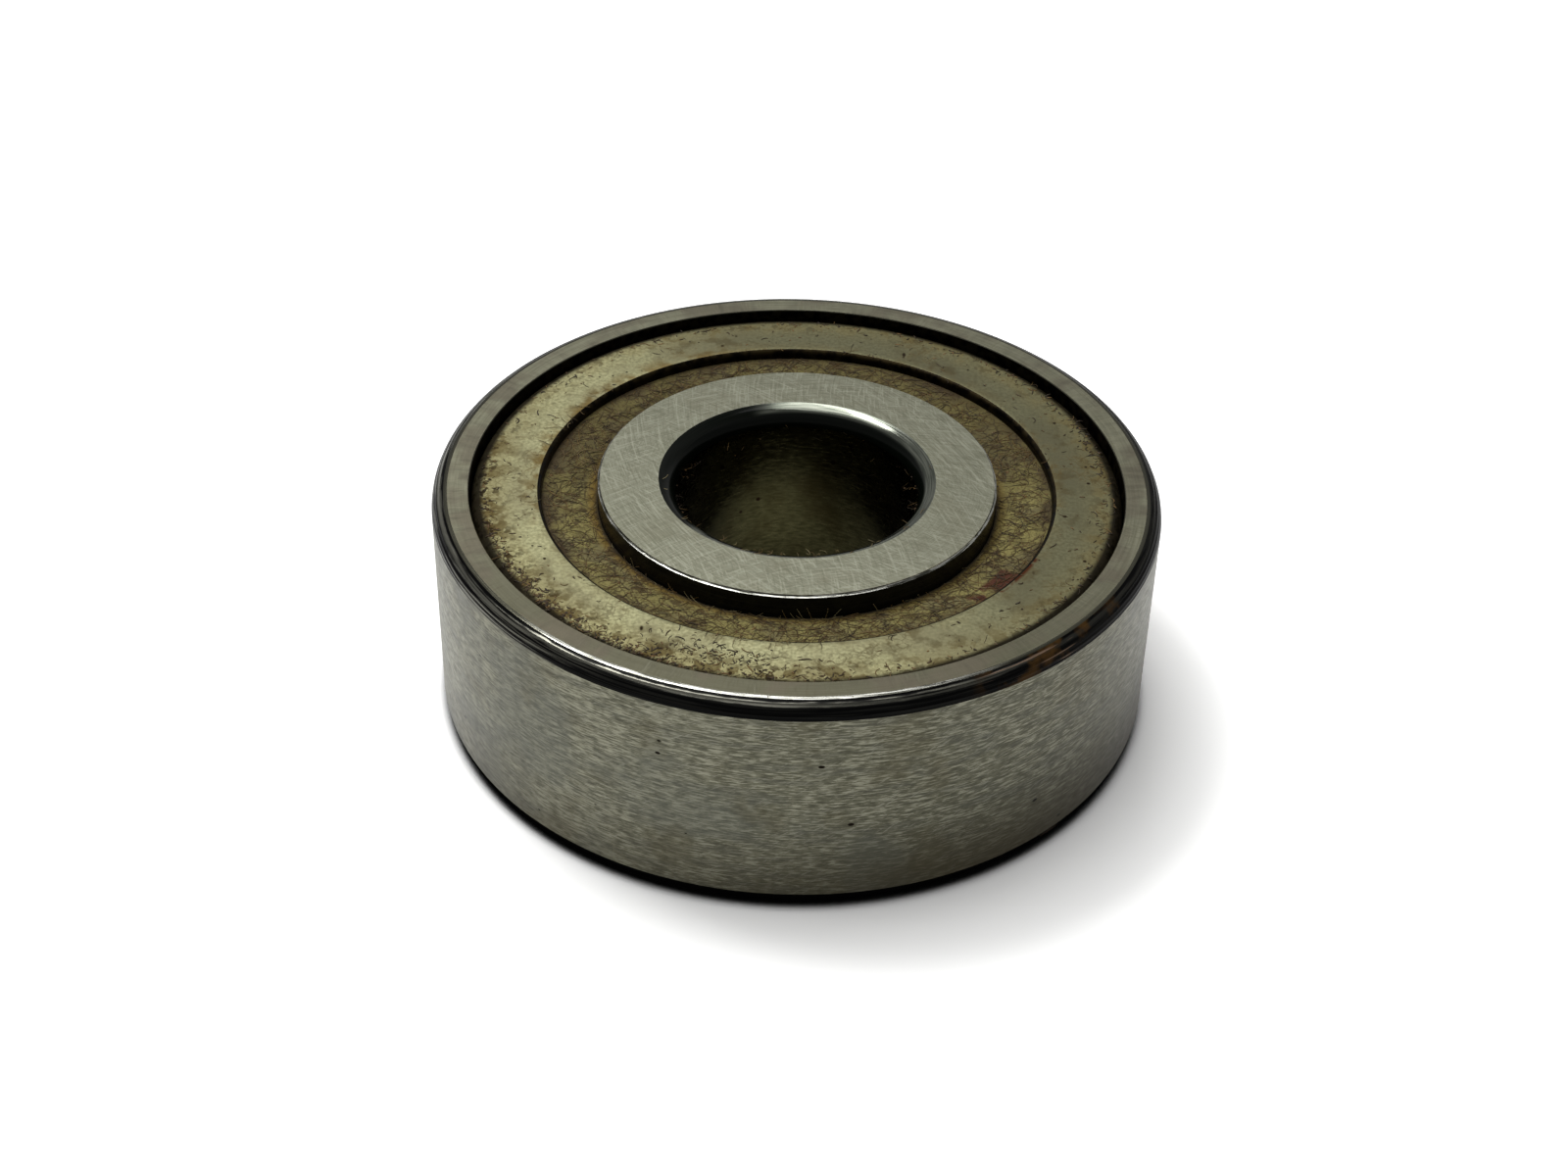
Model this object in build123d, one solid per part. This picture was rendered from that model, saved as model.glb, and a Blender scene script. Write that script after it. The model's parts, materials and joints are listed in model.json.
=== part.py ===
from build123d import *

import os

# Sealed single-row ball bearing, in millimetres.
#
# Two hardened rings with a ball groove between them hold seven balls, spaced by a riveted
# two-piece ribbon cage. Each side is closed by a pressed steel cup, the felt ring inside it
# that wipes the inner ring, and a thin backing washer that keeps the felt off the cage.
#
# The origin is the centre of the bore at mid width, and Z is the axis of rotation.

# Boundary sizes.
outer_diameter = 28.575
bore_diameter = 9.525
width = 9.525

# Balls and their grooves.
ball_diameter = 4.7625
ball_count = 7
groove_conformity = 0.52  # groove radius as a share of the ball's diameter
groove_clearance = 0.02  # between a ball and the bottom of each groove
inner_shoulder = 0.70  # height of the inner ring's land over its groove bottom
outer_shoulder = 0.78

# Corners of the rings. Each is a shallow arc, turned before the ring is ground, so it meets
# the ground faces at an angle.
outer_corner_radial = 0.48
outer_corner_axial = 0.64
outer_corner_bulge = 0.13  # how far the arc stands out from its chord
bore_corner_radial = 0.68
bore_corner_axial = 0.76
bore_corner_bulge = 0.17
edge_break = 0.06

# Seals.
rim_width = 1.45  # outer ring's face, from its outside to the seal's recess
seal_depth = 0.33  # cup below the rings' faces
cup_thickness = 0.40
cup_bend_radius = 0.46  # outside of the bend between the cup's face and its skirt
cup_clearance = 0.06  # between the cup's skirt and the recess
cup_foot_height = 0.30
cup_foot_reach = 0.24  # foot of the skirt, sprung out into the recess's undercut
undercut_clearance = 0.04
felt_window = 2.20  # felt that shows between the cup and the inner ring
felt_clearance = 0.04
felt_side_clearance = 0.02
backing_thickness = 0.20
backing_gap = 0.35  # between the backing washer and the inner ring

# Cage.
cage_width = 2.0
cage_thickness = 0.35
pocket_clearance = 0.05
cage_to_seal = 0.12
rivet_diameter = 0.70
rivet_hole_clearance = 0.02
rivet_head_diameter = 1.30
rivet_head_height = 0.28

# Places that several pieces share.
half_width = width / 2
outer_radius = outer_diameter / 2
bore_radius = bore_diameter / 2
ball_radius = ball_diameter / 2
pitch_radius = (outer_radius + bore_radius) / 2
groove_radius = groove_conformity * ball_diameter
inner_groove_bottom = pitch_radius - ball_radius - groove_clearance
outer_groove_bottom = pitch_radius + ball_radius + groove_clearance
inner_land = inner_groove_bottom + inner_shoulder
outer_land = outer_groove_bottom - outer_shoulder

pocket_radius = ball_radius + pocket_clearance
pocket_outside = pocket_radius + cage_thickness
seat_height = pocket_outside + cage_to_seal  # shoulder that the seals stand on

recess_radius = outer_radius - rim_width
skirt_outside = recess_radius - cup_clearance
skirt_inside = skirt_outside - cup_thickness
foot_outside = skirt_outside + cup_foot_reach
foot_top = seat_height + cup_foot_height
undercut_radius = foot_outside + undercut_clearance
undercut_top = foot_top + undercut_clearance
cup_top = half_width - seal_depth
cup_underside = cup_top - cup_thickness
cup_inner_bend = cup_bend_radius - cup_thickness
window_radius = inner_land + felt_window
backing_top = seat_height + backing_thickness
packing_radius = skirt_inside - felt_side_clearance  # outside of the felt and its backing

ball_places = PolarLocations(pitch_radius, ball_count)
rivet_places = PolarLocations(pitch_radius, ball_count, start_angle=180 / ball_count)


def turned(outline):
    """The solid that a closed outline, drawn as (radius, height), sweeps about the axis."""
    return revolve(Plane.XZ * make_face(outline), Axis.Z)


def washer(inside, outside, low, high):
    """A flat ring with square edges."""
    corners = [(inside, low), (outside, low), (outside, high), (inside, high)]
    return turned(Polyline(*corners, close=True))


def groove(bottom, land, centre):
    """The arc of a ball groove from its lower edge on the land to its upper one, and the
    height of that upper edge."""
    edge = (groove_radius**2 - (land - centre) ** 2) ** 0.5
    return ThreePointArc((land, -edge), (bottom, 0), (land, edge)), edge


def outer_ring():
    """Ground outside and faces, an undercut recess for each seal, and the outer groove."""
    centre = outer_groove_bottom - groove_radius
    raceway, raceway_edge = groove(outer_groove_bottom, outer_land, centre)
    corner_start = (outer_radius, half_width - outer_corner_axial)
    corner_end = (outer_radius - outer_corner_radial, half_width)
    seat = Line((outer_radius, outer_corner_axial - half_width), corner_start)
    side = SagittaArc(corner_start, corner_end, -outer_corner_bulge) + Polyline(
        corner_end,
        (recess_radius, half_width),
        (recess_radius, undercut_top),
        (undercut_radius, undercut_top),
        (undercut_radius, seat_height),
        (outer_land, seat_height),
        (outer_land, raceway_edge),
    )
    return turned(seat + side + raceway + mirror(side, Plane.XZ))


def inner_ring():
    """Ground bore, faces and land, with rounded bore corners and the inner groove."""
    centre = inner_groove_bottom + groove_radius
    raceway, raceway_edge = groove(inner_groove_bottom, inner_land, centre)
    corner_start = (bore_radius, half_width - bore_corner_axial)
    corner_end = (bore_radius + bore_corner_radial, half_width)
    bore = Line((bore_radius, bore_corner_axial - half_width), corner_start)
    side = SagittaArc(corner_start, corner_end, bore_corner_bulge) + Polyline(
        corner_end,
        (inner_land - edge_break, half_width),
        (inner_land, half_width - edge_break),
        (inner_land, raceway_edge),
    )
    return turned(bore + side + raceway + mirror(side, Plane.XZ))


def seal_cup():
    """Pressed cup: a flat face with the felt's window, a bend, a skirt that stands on the
    outer ring's shoulder, and a foot held under the recess's edge."""
    bend_start = skirt_outside - cup_bend_radius
    bend_end = cup_top - cup_bend_radius
    face = Polyline(
        (bend_start, cup_underside),
        (window_radius, cup_underside),
        (window_radius, cup_top),
        (bend_start, cup_top),
    )
    bend = RadiusArc((bend_start, cup_top), (skirt_outside, bend_end), cup_bend_radius)
    skirt = Polyline(
        (skirt_outside, bend_end),
        (skirt_outside, foot_top),
        (foot_outside, foot_top),
        (foot_outside, seat_height),
        (skirt_inside, seat_height),
        (skirt_inside, bend_end),
    )
    inner_bend = RadiusArc(
        (skirt_inside, bend_end), (bend_start, cup_underside), -cup_inner_bend
    )
    return turned(face + bend + skirt + inner_bend)


def felt_ring():
    """Felt between the cup and the backing washer, running on the inner ring's land."""
    inside = inner_land + felt_clearance
    return turned(
        Polyline(
            (inside, backing_top),
            (packing_radius, backing_top),
            (packing_radius, cup_underside - cup_inner_bend),
            (packing_radius - cup_inner_bend, cup_underside),
            (inside, cup_underside),
            close=True,
        )
    )


def backing_washer():
    """Thin steel washer under the felt, standing on the outer ring's shoulder."""
    return washer(inner_land + backing_gap, packing_radius, seat_height, backing_top)


def cage_half():
    """Upper half of the ribbon cage: flat webs that meet the other half at mid width, a
    round pocket over each ball, and a rivet hole through each web."""
    inside = pitch_radius - cage_width / 2
    outside = pitch_radius + cage_width / 2
    webs = washer(inside, outside, 0, cage_thickness)
    band = washer(inside, outside, 0, pocket_outside)
    pockets = band & (Part() + ball_places * Sphere(pocket_outside))
    hole = Cylinder(rivet_diameter / 2 + rivet_hole_clearance, 4 * cage_thickness)
    return webs + pockets - ball_places * Sphere(pocket_radius) - rivet_places * hole


def cage_rivets():
    """A rivet through each web: a shank, and a domed head on each side of the cage."""
    shank = rivet_diameter / 2
    head = rivet_head_diameter / 2
    crown = cage_thickness + rivet_head_height
    dome_radius = (head**2 + rivet_head_height**2) / (2 * rivet_head_height)
    side = Polyline((shank, 0), (shank, cage_thickness), (head, cage_thickness)) + RadiusArc(
        (head, cage_thickness), (0, crown), -dome_radius
    )
    upper_half = turned(side + Polyline((0, crown), (0, 0), (shank, 0)))
    return Part() + rivet_places * (upper_half + mirror(upper_half, Plane.XY))


def pieces():
    """Each node's name and its solid, or its group of solids."""
    named = {"outer_ring": outer_ring(), "inner_ring": inner_ring()}
    paired = {
        "seal_cup": seal_cup(),
        "felt_ring": felt_ring(),
        "backing_washer": backing_washer(),
        "cage": cage_half(),
    }
    for name, solid in paired.items():
        named[f"upper_{name}"] = solid
        named[f"lower_{name}"] = mirror(solid, Plane.XY)
    for number, place in enumerate(ball_places, start=1):
        named[f"ball_{number}"] = place * Sphere(ball_radius)
    named["cage_rivets"] = cage_rivets()
    return named


os.makedirs("parts", exist_ok=True)
for name, solid in pieces().items():
    export_step(solid, f"parts/{name}.step")
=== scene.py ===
import json
import math
import random

import bmesh
import bpy
from mathutils import Matrix, Vector, noise


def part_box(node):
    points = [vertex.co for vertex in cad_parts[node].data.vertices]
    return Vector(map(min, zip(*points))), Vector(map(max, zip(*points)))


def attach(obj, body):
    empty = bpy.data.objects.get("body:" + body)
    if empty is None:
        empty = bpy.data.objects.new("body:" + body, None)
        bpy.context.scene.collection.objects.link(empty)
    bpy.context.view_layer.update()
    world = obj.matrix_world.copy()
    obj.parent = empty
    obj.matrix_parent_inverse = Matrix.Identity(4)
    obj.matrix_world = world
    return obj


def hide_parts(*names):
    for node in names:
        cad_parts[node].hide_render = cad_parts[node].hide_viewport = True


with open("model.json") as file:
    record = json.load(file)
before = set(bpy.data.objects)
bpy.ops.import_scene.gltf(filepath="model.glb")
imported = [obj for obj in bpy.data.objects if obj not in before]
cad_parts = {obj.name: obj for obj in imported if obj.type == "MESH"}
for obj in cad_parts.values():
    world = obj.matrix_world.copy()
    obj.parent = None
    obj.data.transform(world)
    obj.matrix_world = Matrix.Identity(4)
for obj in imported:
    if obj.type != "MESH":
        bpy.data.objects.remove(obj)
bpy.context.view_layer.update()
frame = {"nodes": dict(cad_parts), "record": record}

# ---------------------------------------------------------------- outer ring
# Through-hardened bearing steel. The outside and both faces are ground bright, in short
# strokes round the ring. The corners and the seal recesses were turned before hardening,
# so they keep a dark scale and the lathe's feed marks. The lower corner and the recess
# walls are painted darker still, nearly black, as painted shade.
mm = 0.001
mounts = {mount["name"]: mount for mount in frame["record"]["mounts"]}
outer_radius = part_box("outer_ring")[1][0]
half_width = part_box("outer_ring")[1][2]
seat_end = mounts["housing_seat"]["dims"]["length_mm"] * mm / 2
corner_width = 0.48 * mm
corner_bulge = 0.13 * mm
face_edge = outer_radius - corner_width
edge_roll_width = 0.14 * mm
edge_roll_drop = 0.023 * mm
edge_roll_bulge = 0.006 * mm
feed_marks = 5
feed_mark_depth = 0.011 * mm
rim_width = 1.45 * mm
recess_radius = outer_radius - rim_width
recess_break = 0.03 * mm
seal_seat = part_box("upper_backing_washer")[0][2]
foot_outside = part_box("upper_seal_cup")[1][0]
foot_top = seal_seat + 0.30 * mm
undercut_clearance = 0.04 * mm
undercut_radius = foot_outside + undercut_clearance
undercut_top = foot_top + undercut_clearance
outer_land = 11.146 * mm
outer_groove = 11.926 * mm
groove_radius = 2.4765 * mm
groove_steps = 12
wall_steps = 8
corner_steps = 40
cuts_round = 420


def arc(start, end, bulge, steps, marks=0, mark_depth=0.0):
    """Points of a shallow arc from start to end, without its start. A positive bulge is to the
    right of the way from start to end. Feed marks are scallops cut into its outside."""
    start, end = Vector(start), Vector(end)
    chord = end - start
    radius = (chord.length**2 / 4 + bulge**2) / (2 * abs(bulge))
    side = Vector((chord.y, -chord.x)).normalized() * math.copysign(1, bulge)
    centre = (start + end) / 2 - side * (radius - abs(bulge))
    half_angle = math.asin(chord.length / 2 / radius)
    points = []
    for step in range(1, steps + 1):
        share = step / steps
        turn = half_angle * (2 * share - 1)
        depth = mark_depth * abs(math.sin(math.pi * marks * share))
        out = side * math.cos(turn) + chord.normalized() * math.sin(turn)
        points.append(tuple(centre + out * (radius - depth)))
    return points


def groove(land, bottom, steps):
    """Points of a ball groove from its upper edge on the land to its bottom at mid width."""
    centre = bottom + math.copysign(groove_radius, land - bottom)
    reach = bottom - centre
    first = math.acos((land - centre) / reach)
    turns = [first * (1 - step / steps) for step in range(steps + 1)]
    return [(centre + reach * math.cos(turn), groove_radius * math.sin(turn)) for turn in turns]


def wall(radius, top):
    """Points up a straight wall from mid width to its top."""
    return [(radius, top * step / wall_steps) for step in range(1, wall_steps + 1)]


def both_sides(start, stretches):
    """A closed outline from its upper half, which runs from mid width on one wall to mid
    width on the other, and the finish of each facet. A stretch is a finish and its points."""
    points = [start]
    finishes = []
    for finish, stretch in stretches:
        for point in stretch:
            points.append(point)
            finishes.append(finish)
    below = [(radius, -height) for radius, height in reversed(points[1:-1])]
    return points + below, finishes + finishes[::-1]


def polar(radius, angle, height=0.0):
    """The point at a radius, an angle about the axis and a height."""
    return radius * math.cos(angle), radius * math.sin(angle), height


def placed(name, data):
    """A new object in the scene from a mesh, lamp or camera."""
    made = bpy.data.objects.new(name, data)
    bpy.context.scene.collection.objects.link(made)
    return made


def turned(name, outline, finishes, materials, side=1, cuts=cuts_round, crease=11):
    """A piece turned about the bore axis from a closed outline of (radius, height)."""
    count = len(outline)
    vertices = []
    for cut in range(cuts):
        angle = 2 * math.pi * cut / cuts
        vertices += [polar(radius, angle, side * height) for radius, height in outline]
    faces = []
    for cut in range(cuts):
        here = cut * count
        there = (cut + 1) % cuts * count
        for facet in range(count):
            after = (facet + 1) % count
            faces.append((here + facet, there + facet, there + after, here + after))
    mesh = bpy.data.meshes.new(name)
    mesh.from_pydata(vertices, [], faces)
    for material in materials.values():
        mesh.materials.append(material)
    order = list(materials)
    mesh.polygons.foreach_set("material_index", [order.index(f) for f in finishes] * cuts)
    shell = bmesh.new()
    shell.from_mesh(mesh)
    bmesh.ops.recalc_face_normals(shell, faces=shell.faces)
    shell.to_mesh(mesh)
    shell.free()
    mesh.shade_smooth()
    mesh.set_sharp_from_angle(angle=math.radians(crease))
    return placed(name, mesh)


def add(tree, kind, settings=None, **inputs):
    """A shader node. An input is set to a value, or joined to a socket. Input names are
    written with _ for a space, and an input number as in_0."""
    made = tree.nodes.new("ShaderNode" + kind)
    for name, value in (settings or {}).items():
        setattr(made, name, value)
    for name, value in inputs.items():
        key = int(name[3:]) if name.startswith("in_") else name.replace("_", " ")
        if isinstance(value, bpy.types.NodeSocket):
            tree.links.new(value, made.inputs[key])
        else:
            made.inputs[key].default_value = value
    return made


def combine(operation, first, second=0.0):
    """The output of a Math node, in the node tree that its first value is in."""
    settings = {"operation": operation}
    return add(first.id_data, "Math", settings, in_0=first, in_1=second).outputs[0]


def times(first, second):
    """The product of two values."""
    return combine("MULTIPLY", first, second)


def larger(first, second):
    """The larger of two values."""
    return combine("MAXIMUM", first, second)


def fade(value, low, high, at_low=0.0, at_high=1.0):
    """value taken from low..high to at_low..at_high, level outside that."""
    eased = {"interpolation_type": "SMOOTHSTEP"}
    ends = {"From_Min": low, "From_Max": high, "To_Min": at_low, "To_Max": at_high}
    return add(value.id_data, "MapRange", eased, Value=value, **ends).outputs[0]


def tint(share, colour, over):
    """Two colours mixed, with share of the second. Each is a socket, or red, green and blue."""
    ends = [end if isinstance(end, bpy.types.NodeSocket) else (*end, 1) for end in (colour, over)]
    kind = {"data_type": "RGBA"}
    return add(share.id_data, "Mix", kind, in_0=share, in_6=ends[0], in_7=ends[1]).outputs[2]


def turning_axes(tree):
    """The unit direction from the axis, the radius and the height of each point."""
    place = add(tree, "TexCoord").outputs["Object"]
    parts = add(tree, "SeparateXYZ", Vector=place)
    across = add(tree, "CombineXYZ", X=parts.outputs["X"], Y=parts.outputs["Y"], Z=0.0).outputs[0]
    around = add(tree, "VectorMath", {"operation": "NORMALIZE"}, in_0=across).outputs[0]
    radius = add(tree, "VectorMath", {"operation": "LENGTH"}, in_0=across).outputs["Value"]
    return around, radius, parts.outputs["Z"]


def facing(around, degrees, at_side, at_middle, low=0.0, high=1.0):
    """A share that rises towards the part of the ring at that many degrees from +X: low where
    the cosine of the angle to it is at_side, and high where it is at_middle."""
    middle = Vector((math.cos(math.radians(degrees)), math.sin(math.radians(degrees)), 0))
    dot = {"operation": "DOT_PRODUCT"}
    cosine = add(around.id_data, "VectorMath", dot, in_0=around, in_1=middle).outputs["Value"]
    return fade(cosine, at_side, at_middle, low, high)


def strokes(around, level, along, across, detail=3.0, shift=0.0):
    """Noise drawn out round the axis: along is its features in a radian, and across its
    features in a metre of level, the radius or height."""
    tree = around.id_data
    turned_by = add(tree, "VectorMath", {"operation": "SCALE"}, Vector=around, Scale=along)
    raised = add(tree, "Math", {"operation": "MULTIPLY_ADD"}, in_0=level, in_1=across, in_2=shift)
    lift = add(tree, "CombineXYZ", X=shift, Y=-shift, Z=raised.outputs[0]).outputs[0]
    place = add(tree, "VectorMath", {"operation": "ADD"}, in_0=turned_by.outputs[0], in_1=lift)
    grain = add(tree, "TexNoise", Vector=place.outputs[0], Scale=1.0, Detail=detail, Roughness=0.6)
    return grain.outputs["Fac"]


def blotches(tree, scale, detail=3.0, shift=0.0):
    """Round noise with scale features in a metre."""
    place = add(tree, "TexCoord").outputs["Object"]
    moved = add(tree, "VectorMath", {"operation": "ADD"}, in_0=place, in_1=(shift, shift, -shift))
    return add(tree, "TexNoise", Vector=moved.outputs[0], Scale=scale, Detail=detail).outputs["Fac"]


def specks(tree, cell, size, stretch=(1.0, 1.0, 1.0)):
    """1 in small round pits and 0 between. Nearly half of the cells have one, of a radius up
    to size of a cell."""
    place = add(tree, "TexCoord").outputs["Object"]
    drawn = add(tree, "VectorMath", {"operation": "MULTIPLY"}, in_0=place, in_1=stretch)
    cells = add(tree, "TexVoronoi", Vector=drawn.outputs[0], Scale=1 / cell, Randomness=1.0)
    chosen = add(tree, "SeparateColor", Color=cells.outputs["Color"])
    reach = fade(chosen.outputs[0], 0.55, 1.0, 0.0, size)
    inside = combine("SUBTRACT", reach, cells.outputs["Distance"])
    return fade(inside, 0.0, 0.05)


def scribbles(tree, scale, width, shift=0.0):
    """1 along thin wandering lines, about scale of them in a metre, and 0 between."""
    from_middle = combine("SUBTRACT", blotches(tree, scale, 2.0, shift), 0.5)
    return fade(combine("ABSOLUTE", from_middle), 0.0, width, 1.0, 0.0)


def surface(name):
    """A new material: it, its node tree and its Principled shader."""
    made = bpy.data.materials.new(name)
    made.use_nodes = True
    return made, made.node_tree, made.node_tree.nodes["Principled BSDF"]


def dress(shader, colour, rough, relief=None, depth=0.0, metal=1.0):
    """Joins colour, roughness and relief to the shader. depth is the relief's, in metres."""
    tree = shader.id_data
    tree.links.new(colour, shader.inputs["Base Color"])
    tree.links.new(rough, shader.inputs["Roughness"])
    shader.inputs["Metallic"].default_value = metal
    if relief is not None:
        bump = add(tree, "Bump", Height=relief, Strength=1.0, Distance=depth)
        tree.links.new(bump.outputs[0], shader.inputs["Normal"])


def ground_seat():
    """Centreless-ground outside: short strokes round the ring, stains and a few pits. The strokes are
    painted in full only on the near side, where the light shows them, and the right side, most of all
    low down, is painted darker as painted shade.
    """
    made, tree, shader = surface("ground_outside")
    around, radius, height = turning_axes(tree)
    fine = strokes(around, height, 27.0, 17000.0, 5.0)
    coarse = strokes(around, height, 7.0, 2600.0, 4.0, 3.7)
    tilt = times(add(tree, "SeparateXYZ", Vector=around).outputs["X"], -9.0 * mm)
    crossed = strokes(around, combine("ADD", height, tilt), 26.0, 13000.0, 4.0, 8.3)
    grit = blotches(tree, 3600.0, 5.0, 0.1)
    cloud = blotches(tree, 420.0, 6.0)
    patch = blotches(tree, 130.0, 5.0, 0.9)
    pits = specks(tree, 1.15 * mm, 0.13, (1.0, 1.0, 1.7))
    # Painted light: the light and dark strokes are painted in full only on the near side, where the
    # light shows them, and at under half strength elsewhere.
    in_front = facing(around, -85, 0.45, 0.88, 0.45, 1.0)
    light_stroke = times(fade(fine, 0.53, 0.58), in_front)
    dark_stroke = times(fade(fine, 0.46, 0.41), in_front)
    grain = combine("ADD", times(grit, 0.4), times(fine, 0.6))
    grained = fade(grain, 0.38, 0.62)
    grey = tint(grained, (0.123, 0.121, 0.087), (0.234, 0.230, 0.168))
    # Painted shade: the right-front side of the outside is painted darker.
    shaded = facing(around, -45, 0.10, 0.90, 0.0, 0.60)
    grey = tint(shaded, grey, (0.070, 0.068, 0.046))
    grey = tint(times(light_stroke, 0.55), grey, (0.32, 0.315, 0.243))
    grey = tint(times(dark_stroke, 0.50), grey, (0.055, 0.054, 0.039))
    grey = tint(fade(coarse, 0.48, 0.62, 0.0, 0.45), grey, (0.080, 0.080, 0.064))
    grey = tint(fade(crossed, 0.58, 0.68, 0.0, 0.45), grey, (0.29, 0.285, 0.23))
    grey = tint(fade(patch, 0.52, 0.60, 0.0, 0.40), grey, (0.100, 0.105, 0.090))
    stained = tint(fade(cloud, 0.54, 0.68, 0.0, 0.35), grey, (0.078, 0.068, 0.038))
    # Brown staining low down on the right, painted darker there as painted shade as well.
    right_side = facing(around, -28, 0.40, 0.95, 0.35, 0.85)
    foot = fade(height, -0.95 * half_width, -0.10 * half_width, 1.0, 0.0)
    browned = tint(times(foot, right_side), stained, (0.060, 0.050, 0.028))
    pitted = tint(pits, browned, (0.006, 0.004, 0.002))
    rough = fade(fine, 0.3, 0.7, 0.42, 0.30)
    raised = combine("ADD", fine, grit)
    relief = combine("SUBTRACT", raised, times(pits, 3.0))
    dress(shader, pitted, rough, relief, 0.002 * mm)
    return made


def ground_face():
    """Surface-ground face: faint strokes across the ring over finer ones round it. Its near side is
    painted darker, as painted shade.
    """
    made, tree, shader = surface("ground_face")
    around, radius, height = turning_axes(tree)
    round_ring = strokes(around, radius, 6.0, 14000.0, 3.0)
    ticks = strokes(around, radius, 62.0, 700.0, 3.0, 1.3)
    cloud = blotches(tree, 500.0, 3.0, 0.5)
    ground = fade(round_ring, 0.3, 0.7)
    fair = tint(ground, (0.237, 0.232, 0.160), (0.348, 0.342, 0.244))
    # Painted shade: the near side of the face is painted darker.
    near_side = facing(around, -95, 0.10, 0.80, 0.0, 0.75)
    shaded_near_side = tint(near_side, fair, (0.114, 0.108, 0.070))
    ticked = tint(fade(ticks, 0.50, 0.70, 0.0, 0.40), shaded_near_side, (0.101, 0.095, 0.062))
    glinting = tint(fade(ticks, 0.38, 0.27, 0.0, 0.30), ticked, (0.364, 0.354, 0.260))
    dulled = tint(fade(cloud, 0.46, 0.62, 0.0, 0.60), glinting, (0.175, 0.152, 0.112))
    rough = fade(ticks, 0.3, 0.7, 0.32, 0.44)
    dress(shader, dulled, rough, ticks, 0.0015 * mm)
    return made


def turned_scale():
    """Turned corner under hardening scale. The upper one is black by the seat, with a grey band and
    lathe lines above that and rust on one side. The lower one is painted black all over, without a
    shine, as painted shade under the ring."""
    made, tree, shader = surface("turned_scale")
    around, radius, height = turning_axes(tree)
    level = combine("ABSOLUTE", height)
    fine = strokes(around, level, 2.5, 15000.0, 4.0)
    cloud = blotches(tree, 800.0, 4.0, 0.2)
    waver = times(combine("SUBTRACT", cloud, 0.5), 0.08 * mm)
    up = combine("ADD", level, waver)
    over_black = fade(up, seat_end + 0.45 * mm, seat_end + 0.50 * mm)
    under_edge = fade(up, half_width - 0.09 * mm, half_width - 0.06 * mm, 1.0, 0.0)
    band = times(times(over_black, under_edge), fade(fine, 0.38, 0.52))
    band = times(band, facing(around, -125, 0.20, 0.65, 0.10, 1.0))
    lathe_side = facing(around, -175, 0.50, 0.85, 0.04, 0.75)
    lathe = times(fade(fine, 0.50, 0.58), lathe_side)
    # Painted shade: below mid width the corner gets no grey band and no lathe lines, so the lower
    # corner is black.
    topside = fade(height, -0.1 * mm, 0.1 * mm)
    grey_share = times(larger(band, lathe), topside)
    scale = tint(grey_share, (0.002, 0.002, 0.002), (0.190, 0.187, 0.155))
    rust_side = facing(around, -45, 0.945, 0.985)
    rust = times(times(rust_side, fade(cloud, 0.46, 0.60)), topside)
    rusted = tint(times(rust, 0.85), scale, (0.060, 0.031, 0.009))
    glint_side = facing(around, -53, 0.985, 0.995)
    glint = times(times(glint_side, fade(fine, 0.60, 0.66)), 0.7)
    glinting = tint(glint, rusted, (0.40, 0.27, 0.19))
    rough = fade(fine, 0.3, 0.7, 0.20, 0.34)
    dress(shader, glinting, rough, fine, 0.003 * mm)
    metal = larger(grey_share, glint)
    tree.links.new(fade(metal, 0.12, 0.6), shader.inputs["Metallic"])
    # No specular below mid width: painted shade keeps the lower corner black.
    tree.links.new(times(topside, 0.035), shader.inputs["Specular IOR Level"])
    return made


def worn_edge_and_highlight(name, highlight_towards=None):
    """Edge worn bright all round, or, given a side, bright only on the upper edge towards that side, as
    a painted highlight. Elsewhere the upper one is then painted dull and the lower one painted dark, as
    painted shade."""
    made, tree, shader = surface(name)
    around, radius, height = turning_axes(tree)
    fine = strokes(around, radius, 9.0, 26000.0, 3.0)
    nicks = strokes(around, radius, 45.0, 3000.0, 3.0, 5.1)
    bright = tint(fade(fine, 0.42, 0.56), (0.10, 0.10, 0.08), (0.66, 0.66, 0.60))
    colour = tint(fade(nicks, 0.60, 0.72), bright, (0.14, 0.13, 0.11))
    # A painted highlight on one side of the upper edge, with painted shade on the rest of it and on the
    # lower edge.
    if highlight_towards is not None:
        topside = fade(height, -0.1 * mm, 0.1 * mm)
        worn = times(facing(around, highlight_towards, 0.74, 0.93), topside)
        plain = tint(topside, (0.012, 0.011, 0.008), (0.115, 0.112, 0.082))
        colour = tint(worn, plain, colour)
    rough = fade(fine, 0.3, 0.7, 0.14, 0.28)
    dress(shader, colour, rough, nicks, 0.004 * mm)
    return made


def grime_and_shade_recess():
    """Turned wall of the seal recess, dark with old oil and grit, and painted nearly black as painted
    shade.
    """
    made, tree, shader = surface("grime_and_shade_recess")
    cloud = blotches(tree, 2600.0, 4.0)
    # Dark grime, painted nearly black as painted shade.
    grime_and_shade = tint(fade(cloud, 0.4, 0.62), (0.004, 0.003, 0.002), (0.018, 0.014, 0.007))
    rough = fade(cloud, 0.3, 0.7, 0.45, 0.7)
    dress(shader, grime_and_shade, rough, cloud, 0.01 * mm)
    return made


def lapped_groove():
    """Ball groove, honed to a fine mirror with a wear track round it."""
    made, tree, shader = surface("honed_groove")
    around, radius, height = turning_axes(tree)
    fine = strokes(around, height, 1.5, 24000.0, 2.0)
    bright = tint(fade(fine, 0.35, 0.65), (0.52, 0.52, 0.50), (0.66, 0.66, 0.64))
    rough = fade(fine, 0.3, 0.7, 0.08, 0.18)
    dress(shader, bright, rough, fine, 0.0004 * mm)
    return made


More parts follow.
